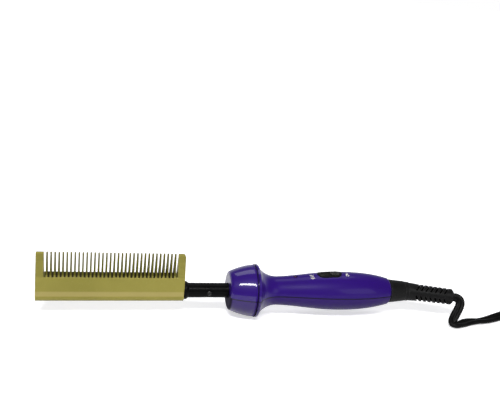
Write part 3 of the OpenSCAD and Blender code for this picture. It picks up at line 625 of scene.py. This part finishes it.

# %% [markdown]
# ## Painted shade and highlight on the head
# The walls and floors of the slots get painted shade, and so does the underside. A band on
# the spine gets a painted highlight. The teeth and the upward faces of their tops are painted
# darker. The walls are told from the front faces by the normal, because they look along x or
# up.

# %% Painted shade and highlight on the gold plate
# spans in millimetres: along the row of teeth, then heights over the table
BETWEEN_POSTS = (-142.9, -57.9)
TEETH_Z, SLOT_FLOOR_Z = (30.9, 60), (29.0, 34.5)
SPINE_HIGHLIGHT_Z, UNDER_Z, TOPS_Z = (16.4, 19.7), (0, 12.9), (40, 60)
gold = finish["gold_plate"]
gold_tree = gold.node_tree
facing = node(gold_tree, "SeparateXYZ")
link(gold_tree, node(gold_tree, "TexCoord").outputs["Normal"], facing.inputs[0])
sideways = math_node(gold_tree, "ABSOLUTE", facing.outputs["Y"])
off_face = math_node(gold_tree, "SUBTRACT", 1.0, sideways, clamp=True)
between_posts = zone_mask(gold, X_AXIS, *BETWEEN_POSTS, border=0.4)
# the teeth are painted darker
teeth = overlap(gold, zone_mask(gold, Z_AXIS, *TEETH_Z, border=1.0), between_posts)
tint(gold, teeth, strength=0.9, colour=(0.100, 0.090, 0.010), rough=0.55)
# painted shade on the walls and floors of the slots
slot_painted_shade = overlap(gold, zone_mask(gold, Z_AXIS, *SLOT_FLOOR_Z, border=0.6), between_posts,
                  off_face)
tint(gold, slot_painted_shade, strength=0.85, colour=(0.020, 0.014, 0.008), rough=0.7)
# painted highlight on a band along the spine
spine_painted_highlight = zone_mask(gold, Z_AXIS, *SPINE_HIGHLIGHT_Z, border=0.8)
tint(gold, spine_painted_highlight, strength=0.6, colour=(0.42, 0.345, 0.135), rough=0.38)
# painted shade on the underside of the head
under = zone_mask(gold, Z_AXIS, *UNDER_Z, border=1.0)
tint(gold, under, strength=0.5, colour=(0.15, 0.14, 0.035))
# the upward faces of the teeth are painted darker
tops = math_node(gold_tree, "MULTIPLY", facing.outputs["Z"],
                 zone_mask(gold, Z_AXIS, *TOPS_Z, border=1.0), clamp=True)
tint(gold, tops, strength=0.75, colour=(0.12, 0.11, 0.03), rough=0.6)
print("gold nodes:", len(gold_tree.nodes))

# %% [markdown]
# ## Plastics and rubber
# The handle is moulded in two halves from a deep purple plastic with a satin gloss. The
# switch parts are black, and the strain relief and the cord are soft black rubber that
# holds a little dust. The knob and the ribs each have a greyer finish of their own, with
# bright edges as painted highlights on their ribs.

# %% Finishes for the plastic and rubber pieces
build_finish(
    "purple_plastic", colour=(0.0218, 0.0042, 0.140), stained=(0.0190, 0.0036, 0.122),
    worn=(0.05, 0.022, 0.18), rough=(0.34, 0.42), grain=1400.0, stain=18.0, bump=0.02,
    edge=0.0004, edge_strength=0.25, Specular_IOR_Level=0.10, Coat_Roughness=0.012)
build_finish(
    "black_plastic", colour=(0.0016, 0.0016, 0.0018), stained=(0.0030, 0.0030, 0.0032),
    worn=(0.020, 0.020, 0.022), rough=(0.34, 0.45), grain=2200.0, bump=0.10, edge=0.0002,
    Specular_IOR_Level=0.06)
# greyer, with bright edges: painted highlights on the ribs of the knob
build_finish(
    "knob_highlight_plastic", colour=(0.020, 0.020, 0.018), stained=(0.013, 0.013, 0.012),
    worn=(0.11, 0.11, 0.10), rough=(0.38, 0.50), grain=2200.0, bump=0.12, edge=0.00022,
    edge_strength=0.9, Specular_IOR_Level=0.2)
build_finish(
    "black_rubber", colour=(0.0028, 0.0028, 0.0028), stained=(0.0042, 0.0041, 0.0041),
    worn=(0.020, 0.020, 0.020), rough=(0.40, 0.52), grain=1500.0, bump=0.15, edge=0.0003,
    fleck=0.10, Specular_IOR_Level=0.09)
# bright edges: painted highlights on the ribs of the strain relief
build_finish(
    "rib_highlight_rubber", colour=(0.0036, 0.0036, 0.0037), stained=(0.0056, 0.0055, 0.0055),
    worn=(0.040, 0.040, 0.040), rough=(0.38, 0.50), grain=1500.0, bump=0.15, edge=0.00045,
    edge_strength=0.8, fleck=0.12, Specular_IOR_Level=0.12)
build_finish(
    "led_red", colour=(0.030, 0.004, 0.004), stained=(0.020, 0.003, 0.003),
    worn=(0.08, 0.01, 0.01), rough=(0.10, 0.18), grain=900.0, bump=0.01, edge=0.0002,
    Specular_IOR_Level=0.2)
build_finish(
    "lever_white", colour=(0.72, 0.70, 0.64), stained=(0.64, 0.61, 0.54),
    worn=(0.82, 0.81, 0.78), rough=(0.4, 0.55), bump=0.1)
build_finish(
    "phenolic", colour=(0.10, 0.045, 0.02), stained=(0.06, 0.026, 0.012),
    worn=(0.2, 0.11, 0.06), rough=(0.35, 0.5), grain=900.0, bump=0.15, fleck=0.5)
build_finish(
    "component_black", colour=(0.02, 0.02, 0.022), stained=(0.03, 0.03, 0.032),
    worn=(0.08, 0.08, 0.08), rough=(0.45, 0.6), grain=3000.0, bump=0.2)
print("plastics:", len(finish))

# %% [markdown]
# ## A painted highlight in the switch's tray
# The floor of the knob's tray is painted grey, as a painted highlight. Three zones, one along
# each axis, cut out the box in which that floor lies.

# %% Painted highlight in the switch's tray
TRAY_FLOOR = ((X_AXIS, 44.4, 58.6), (Y_AXIS, -3.1, 3.1), (Z_AXIS, 20, 31.9))
plate = finish["black_plastic"]
tray_painted_highlight = overlap(plate, *[zone_mask(plate, *span, border=0.3) for span in TRAY_FLOOR])
# painted highlight: the floor of the tray is painted grey
tint(plate, tray_painted_highlight, strength=0.9, colour=(0.022, 0.022, 0.019), rough=0.45)
print("plate nodes:", len(plate.node_tree.nodes))

# %% [markdown]
# ## Seam, lip and groove of the handle
# The two halves meet at the height of the axis. A seam is a fine groove that holds a dark
# line of dirt. The lower half is painted darker and greyer, as painted shade and reflection of
# the pale table, and is a little duller. The lower lip of the cup gets painted shade, and the
# groove behind the cup gets painted shade as a dark ring.

# %% Seam and painted shade of the handle
cup_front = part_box("handle_upper_shell")[0][0] / MM
SEAM_HALF = 0.42        # half the width of the dirt line
LIP_DEPTH = 1.0         # of the lip with painted shade, from the cup's front
CUP_DEPTH = 17.4        # from the cup's front to its groove
GROOVE_FROM, GROOVE_TO = cup_front + CUP_DEPTH + 0.15, cup_front + CUP_DEPTH + 1.05
purple = finish["purple_plastic"]
purple_tree = purple.node_tree
seam = zone_mask(purple, Z_AXIS, AXIS_HEIGHT - SEAM_HALF, AXIS_HEIGHT + SEAM_HALF, border=0.25)
lower = zone_mask(purple, Z_AXIS, -20, AXIS_HEIGHT, border=0.2)
lip_painted_shade = overlap(purple, zone_mask(purple, X_AXIS, cup_front - 5, cup_front + LIP_DEPTH,
                                border=0.7), lower)
groove_painted_shade = zone_mask(purple, X_AXIS, GROOVE_FROM, GROOVE_TO, border=0.2)
# painted shade and reflection: the lower half is darker and greyer, as if it mirrored the table
tint(purple, lower, strength=0.5, colour=(0.026, 0.0105, 0.082), rough=0.42)
# painted shade on the lower lip of the cup
tint(purple, lip_painted_shade, strength=0.9, colour=(0.0045, 0.0022, 0.012), rough=0.7)
tint(purple, seam, strength=0.9, colour=(0.004, 0.002, 0.012), rough=0.6)
# painted shade: a dark ring in the groove behind the cup
tint(purple, groove_painted_shade, strength=0.85, colour=(0.004, 0.002, 0.014), rough=0.6)
print("purple nodes:", len(purple_tree.nodes), "cup front at", round(cup_front, 1), "mm")

# %% [markdown]
# ## Gloss of the handle
# The cup is polished like a mirror and the grip is less so. Both are one moulding, so a clear
# coat whose weight falls off along the handle gives it. The lip with painted shade and the rim
# in front of the groove have lost their gloss, and there the coat is off.

# %% Coat of the handle
GRIP_COAT, CUP_COAT = 0.12, 0.58        # the cup's share comes on top of the grip's
COAT_FALLS_AT, COAT_FALL = 6.0, 9.0     # the middle and the length of its fall
RIM_WIDTH = 1.0                         # of the dull band in front of the groove
cup_gloss = zone_mask(purple, X_AXIS, -80, COAT_FALLS_AT, border=COAT_FALL)
grip_gloss = math_node(purple_tree, "MULTIPLY_ADD", cup_gloss, CUP_COAT, GRIP_COAT)
rim = zone_mask(purple, X_AXIS, cup_front + CUP_DEPTH - RIM_WIDTH, GROOVE_TO, border=0.3)
dull = math_node(purple_tree, "MAXIMUM", lip_painted_shade, rim)
glossy = math_node(purple_tree, "SUBTRACT", 1.0, dull)
link(purple_tree, math_node(purple_tree, "MULTIPLY", grip_gloss, glossy),
     purple_tree.nodes["Principled BSDF"].inputs["Coat Weight"])
print("coat from", GRIP_COAT, "to", round(GRIP_COAT + CUP_COAT, 2))

# %% [markdown]
# ## Inside the shells
# These pieces are hidden while the handle is closed, and they show when it is taken apart.
# Each has the look of its real material: white ceramic, layered mica, a glass bead, woven and
# plain wire, and the lacquers of the parts on the board.

# %% Finishes for the pieces inside
build_finish(
    "ceramic", colour=(0.80, 0.78, 0.72), stained=(0.74, 0.71, 0.64),
    worn=(0.88, 0.87, 0.84), rough=(0.25, 0.4), grain=2400.0, bump=0.06)
build_finish(
    "mica", colour=(0.52, 0.38, 0.17), stained=(0.40, 0.28, 0.11), worn=(0.7, 0.6, 0.4),
    rough=(0.15, 0.5), grain=500.0, stain=150.0, stretch=(0.4, 1, 1), bump=0.1, fleck=0.4)
build_finish(
    "sensor_glass", colour=(0.5, 0.12, 0.03), stained=(0.4, 0.08, 0.02), worn=(0.7, 0.3, 0.1),
    rough=(0.05, 0.12), bump=0.01, Coat_Weight=0.7)
build_finish(
    "wire_white", colour=(0.70, 0.66, 0.56), stained=(0.58, 0.54, 0.44),
    worn=(0.8, 0.78, 0.7), rough=(0.6, 0.8), grain=2500.0, stretch=(0.5, 2, 2), bump=0.5)
build_finish(
    "wire_red", colour=(0.45, 0.03, 0.015), stained=(0.36, 0.02, 0.01), worn=(0.6, 0.1, 0.07),
    rough=(0.35, 0.5), bump=0.08)
build_finish(
    "board_green", colour=(0.012, 0.12, 0.03), stained=(0.008, 0.09, 0.022),
    worn=(0.35, 0.30, 0.12), rough=(0.2, 0.35), grain=700.0, stain=260.0, bump=0.06)
build_finish(
    "component_yellow", colour=(0.62, 0.38, 0.02), stained=(0.55, 0.32, 0.015),
    worn=(0.75, 0.55, 0.12), rough=(0.25, 0.4), bump=0.08)
build_finish(
    "resistor_tan", colour=(0.45, 0.32, 0.16), stained=(0.38, 0.26, 0.12),
    worn=(0.6, 0.48, 0.3), rough=(0.3, 0.45), bump=0.08)
print("all finishes:", len(finish))

# %% [markdown]
# ## Put the finishes on the pieces
# The record names a finish for every piece, so one loop is enough. The material goes in the
# slots of the object.

# %% Assign the finishes
def dress(piece, material):
    for slot in piece.material_slots:
        slot.material = material


for part in frame["record"]["subparts"]:
    dress(frame["nodes"][part["node"]], finish[part["material_slot"]])
mains_cord.data.materials.append(finish["black_rubber"])
# three pieces have a greyer finish than the rest of their slot: painted highlights on the
# knob and the ribs, and a painted glint on the rivet
dress(frame["nodes"]["switch_slider"], finish["knob_highlight_plastic"])
dress(frame["nodes"]["strain_relief"], finish["rib_highlight_rubber"])
dress(frame["nodes"]["stem_rivet"], finish["rivet_glint_enamel"])

# %% [markdown]
# ## Polished shells
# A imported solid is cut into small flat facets, and a mirror-like coat shows every one of
# them. A copy of each shell with the same corners but shared normals reflects like the
# polished steel mould did. Edges that turn more than 15 degrees stay sharp, so the rim, the
# groove and the seam keep their lines.

# %% Shells with shared normals
SAME_SPOT = 0.001       # corners closer than this are one


def polished_copy(node_name, name, material, sharp_from=15):
    piece = bpy.data.objects.new(name, frame["nodes"][node_name].data.copy())
    bpy.context.scene.collection.objects.link(piece)
    mesh = piece.data
    form = bmesh.new()
    form.from_mesh(mesh)
    bmesh.ops.remove_doubles(form, verts=form.verts, dist=SAME_SPOT * MM)
    form.to_mesh(mesh)
    form.free()
    mesh.shade_smooth()
    mesh.set_sharp_from_angle(angle=math.radians(sharp_from))
    mesh.materials.clear()
    mesh.materials.append(material)
    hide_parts(node_name)
    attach(piece, "comb")
    return piece


for half in ("upper", "lower"):
    copy = polished_copy(f"handle_{half}_shell", f"{half}_shell_polished",
                         finish["purple_plastic"])
    print(copy.name, len(copy.data.polygons), "faces")

# %% [markdown]
# ## Inside the strain relief
# The ribs of a strain relief are cut down to a soft sleeve that runs round the cord. Seen
# through the slots it is always the darkest place, and its finish is darker than the rubber
# round it, as painted shade. A profile turned round the axis makes it: each ring of points is
# one circle, and the rings step a little between the slots.

# %% Sleeve inside the ribs
# distance from the tip and radius; the step in the middle repeats with every slot
SLOT_PITCH, SLOT_COUNT = 3.5, 8
SLEEVE_STEP = ((-28.6, 5.25), (-28.3, 5.05), (-27.0, 5.05), (-26.7, 5.25))
SLEEVE = [(-29.8, 0.5), (-29.6, 5.2)]
SLEEVE += [(along + SLOT_PITCH * k, radius) for k in range(SLOT_COUNT)
           for along, radius in SLEEVE_STEP]
SLEEVE += [(-1.8, 5.0), (-1.6, 0.5)]


def turned_piece(name, profile, tip, axis, material, count=48):
    """A piece turned round an axis; the profile gives (distance from the tip, radius)."""
    side = axis.orthogonal().normalized()
    up = axis.cross(side)
    form = bmesh.new()
    angles = [2 * math.pi * k / count for k in range(count)]
    rings = [[form.verts.new((tip + along * axis + radius * (
        math.cos(a) * side + math.sin(a) * up)) * MM) for a in angles]
        for along, radius in profile]
    close_tube(form, rings)
    return make_piece(name, form, material)


# darker than the black rubber: painted shade inside the slots
build_finish(
    "sleeve_painted_shade", colour=(0.0008, 0.0008, 0.0008), stained=(0.0014, 0.0014, 0.0014),
    worn=(0.004, 0.004, 0.004), rough=(0.6, 0.7), grain=1500.0, bump=0.1,
    Specular_IOR_Level=0.04)
sleeve = turned_piece("relief_sleeve", SLEEVE, EXIT, OUTWARDS.normalized(),
                      finish["sleeve_painted_shade"])
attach(sleeve, "cord_swivel")
print("sleeve:", len(sleeve.data.polygons), "faces")

# %% [markdown]
# ## ON and OFF
# The two words are printed in white across the handle, one at each end of the switch, so
# they read when the comb is held upright. A font would bring hundreds of corners for letters
# this small. Three letters are enough, and each is a few straight strokes on a grid.

# %% Strokes of the letters
# each letter is a list of strokes, one unit high, from its lower left corner
LETTERS = {
    "O": [[(0.18, 0), (0, 0.22), (0, 0.78), (0.18, 1), (0.46, 1), (0.64, 0.78), (0.64, 0.22),
           (0.46, 0), (0.18, 0)]],
    "N": [[(0, 0), (0, 1), (0.62, 0), (0.62, 1)]],
    "F": [[(0, 0), (0, 1), (0.56, 1)], [(0, 0.54), (0.44, 0.54)]],
}


def word_strokes(word, height, gap=0.26):
    strokes, pen = [], 0.0
    for letter in word:
        for stroke in LETTERS[letter]:
            strokes.append([(pen + x, y) for x, y in stroke])
        pen += max(x for stroke in LETTERS[letter] for x, y in stroke) + gap
    middle = (pen - gap) / 2
    return [[((x - middle) * height, (y - 0.5) * height) for x, y in stroke]
            for stroke in strokes]


print("strokes:", {word: len(word_strokes(word, 1)) for word in ("ON", "OFF")})

# %% [markdown]
# ## Print on a curved shell
# Print has almost no thickness. Each stroke becomes a narrow ribbon cut into short strips,
# and rays cast down on the shell put every corner of it just above the surface. An image
# could be projected there as well, but it would blur where the shell is steep.

# %% Print a word on the shell
def surface_of(name):
    mesh = frame["nodes"][name].data
    return BVHTree.FromPolygons([v.co for v in mesh.vertices],
                                [p.vertices for p in mesh.polygons])


shell = surface_of("handle_upper_shell")
DOWN = Vector((0, 0, -1))
RAYS_FROM = 60          # above the highest point of the handle
INK = 0.03              # thickness of the print
STRIP = 0.3             # longest strip of a stroke, so that it bends with the shell


def print_word(name, word, x, y, height, stroke_width):
    """The word runs across the handle, and the tops of its letters point to the head."""
    form = bmesh.new()
    for stroke in word_strokes(word, height):
        for (u0, v0), (u1, v1) in zip(stroke, stroke[1:]):
            along = Vector((u1 - u0, v1 - v0, 0)).normalized()
            aside = Vector((-along.y, along.x, 0)) * stroke_width / 2
            ends = [Vector((u0, v0, 0)) - along * stroke_width / 2,
                    Vector((u1, v1, 0)) + along * stroke_width / 2]
            count = max(2, math.ceil((ends[1] - ends[0]).length / STRIP))
            pairs = []
            for k in range(count + 1):
                middle = ends[0].lerp(ends[1], k / count)
                pair = []
                for corner in (middle + aside, middle - aside):
                    above = Vector((x - corner.y, y + corner.x, RAYS_FROM)) * MM
                    spot, normal, _, _ = shell.ray_cast(above, DOWN)
                    pair.append(form.verts.new(spot + normal * INK * MM))
                pairs.append(pair)
            for a, b in zip(pairs, pairs[1:]):
                form.faces.new((a[0], b[0], b[1], a[1]))
    piece = make_piece(name, form, finish["lever_white"])
    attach(piece, "comb")
    return piece


# name, word, and its middle's place along and across the handle
MARKS = (("mark_off", "OFF", 38.4, -2.2), ("mark_on", "ON", 64.6, -2.0))
for name, word, x, y in MARKS:
    mark = print_word(name, word, x, y, height=2.0, stroke_width=0.36)
    print(name, len(mark.data.polygons), "faces")

# %% [markdown]
# ## The table
# A white sweep shows no horizon. Near the comb the table shows its own shading, so it keeps
# the shadow, and further out it fades to the white of the room. That white is a glow which
# only the camera sees in full, so it puts no more light on the comb.

# %% Table
TABLE_HALF, TABLE_DROP = 6.0, 0.0002    # metres; the drop keeps it clear of the cord
FADE_FROM, FADE_TO = 0.33, 0.75         # metres from the origin
NEAR_GLOW = 0.56                        # share of the room's white close to the comb
GLOSSY_GLOW = 0.3                       # share of that glow which reflections see


def seen_directly(tree, ray):
    """1 for rays that come from the camera, straight or through glass, and 0 for others."""
    return math_node(tree, "MAXIMUM", ray.outputs["Is Camera Ray"],
                     ray.outputs["Is Transmission Ray"])


def build_table():
    form = bmesh.new()
    bmesh.ops.create_grid(form, x_segments=2, y_segments=2, size=TABLE_HALF)
    material = bpy.data.materials.new("white_sweep")
    table = make_piece("table_top", form, material)
    table.location = (0, 0, -TABLE_DROP)
    material.use_nodes = True
    tree = material.node_tree
    shader = tree.nodes["Principled BSDF"]
    shader.inputs["Base Color"].default_value = (0.84, 0.84, 0.85, 1)
    shader.inputs["Roughness"].default_value = 0.7
    shader.inputs["Specular IOR Level"].default_value = 0.1
    ray = node(tree, "LightPath")
    seen = math_node(tree, "MULTIPLY_ADD", ray.outputs["Is Glossy Ray"], GLOSSY_GLOW,
                     seen_directly(tree, ray))
    place = node(tree, "TexCoord")
    away = node(tree, "VectorMath", operation="LENGTH")
    link(tree, place.outputs["Object"], away.inputs[0])
    far = node(tree, "MapRange", From_Min=FADE_FROM, From_Max=FADE_TO, To_Min=NEAR_GLOW,
               To_Max=1.0)
    link(tree, away.outputs["Value"], far.inputs["Value"])
    link(tree, math_node(tree, "MULTIPLY", seen, far.outputs[0]),
         shader.inputs["Emission Strength"])
    shader.inputs["Emission Color"].default_value = (1, 1, 1, 1)
    return table


table = build_table()
print("table at", round(table.location.z / MM, 2), "mm")

# %% [markdown]
# ## The room
# To the camera the room is plain white. Glossy surfaces see that white sweep behind and under
# the comb, but a darker studio in front of it, which keeps the black and purple pieces deep.

# %% Room
STUDIO_DARK, STUDIO_PALE = (0.10, 0.10, 0.11), (0.80, 0.81, 0.86)
# parts of a direction from the comb: the sweep grows towards the back and fades with height
SWEEP_BACK, SWEEP_UP = (-0.15, 0.35), (0.55, 0.20)


def build_room():
    world = bpy.data.worlds.new("white_room")
    bpy.context.scene.world = world
    world.use_nodes = True
    tree = world.node_tree
    tree.nodes.clear()
    out = tree.nodes.new("ShaderNodeOutputWorld")
    place = node(tree, "TexCoord")
    split = node(tree, "SeparateXYZ")
    link(tree, place.outputs["Generated"], split.inputs[0])
    behind = node(tree, "MapRange", From_Min=SWEEP_BACK[0], From_Max=SWEEP_BACK[1])
    link(tree, split.outputs["Y"], behind.inputs["Value"])
    low = node(tree, "MapRange", From_Min=SWEEP_UP[0], From_Max=SWEEP_UP[1])
    link(tree, split.outputs["Z"], low.inputs["Value"])
    sweep = math_node(tree, "MULTIPLY", behind.outputs[0], low.outputs[0])
    studio = blend_colours(tree, sweep, STUDIO_DARK, STUDIO_PALE)
    dim = node(tree, "Background", Strength=1.0)
    link(tree, studio, dim.inputs["Color"])
    white = node(tree, "Background", Color=(1, 1, 1, 1), Strength=1.0)
    mix = node(tree, "MixShader")
    link(tree, seen_directly(tree, node(tree, "LightPath")), mix.inputs[0])
    link(tree, dim.outputs[0], mix.inputs[1])
    link(tree, white.outputs[0], mix.inputs[2])
    link(tree, mix.outputs[0], out.inputs[0])
    return world


print("room:", build_room().name)

# %% [markdown]
# ## The lamps
# One long softbox high in front makes the sharp white bar on the cup, and a pale card at the
# right makes the faint streaks on the grip. A wide softbox behind lifts the far edges off the
# table. Each is placed by where it is seen from the cup, because that decides its reflection.

# %% Lamps
CUP_FACE = Vector((-0.011, -0.013, 0.029))      # the spot that all the lamps face


def hang_lamp(name, turn, lift, away, width, height, power):
    """An area lamp seen from the cup at that turn and lift in degrees, facing it."""
    turn, lift = math.radians(turn), math.radians(lift)
    way = Vector((math.sin(turn) * math.cos(lift), -math.cos(turn) * math.cos(lift),
                  math.sin(lift)))
    data = bpy.data.lights.new(name, "AREA")
    data.shape, data.size, data.size_y, data.energy = "RECTANGLE", width, height, power
    lamp = bpy.data.objects.new(name, data)
    bpy.context.scene.collection.objects.link(lamp)
    lamp.location = CUP_FACE + away * way
    lamp.rotation_mode = "QUATERNION"
    lamp.rotation_quaternion = (-way).to_track_quat("-Z", "Y")
    return lamp


hang_lamp("long_softbox", turn=-17, lift=52, away=0.75, width=0.47, height=0.095, power=6.5)
hang_lamp("side_card", turn=35, lift=18, away=0.80, width=0.30, height=0.40, power=0.9)
hang_lamp("back_softbox", turn=170, lift=62, away=0.80, width=0.70, height=0.35, power=1.7)
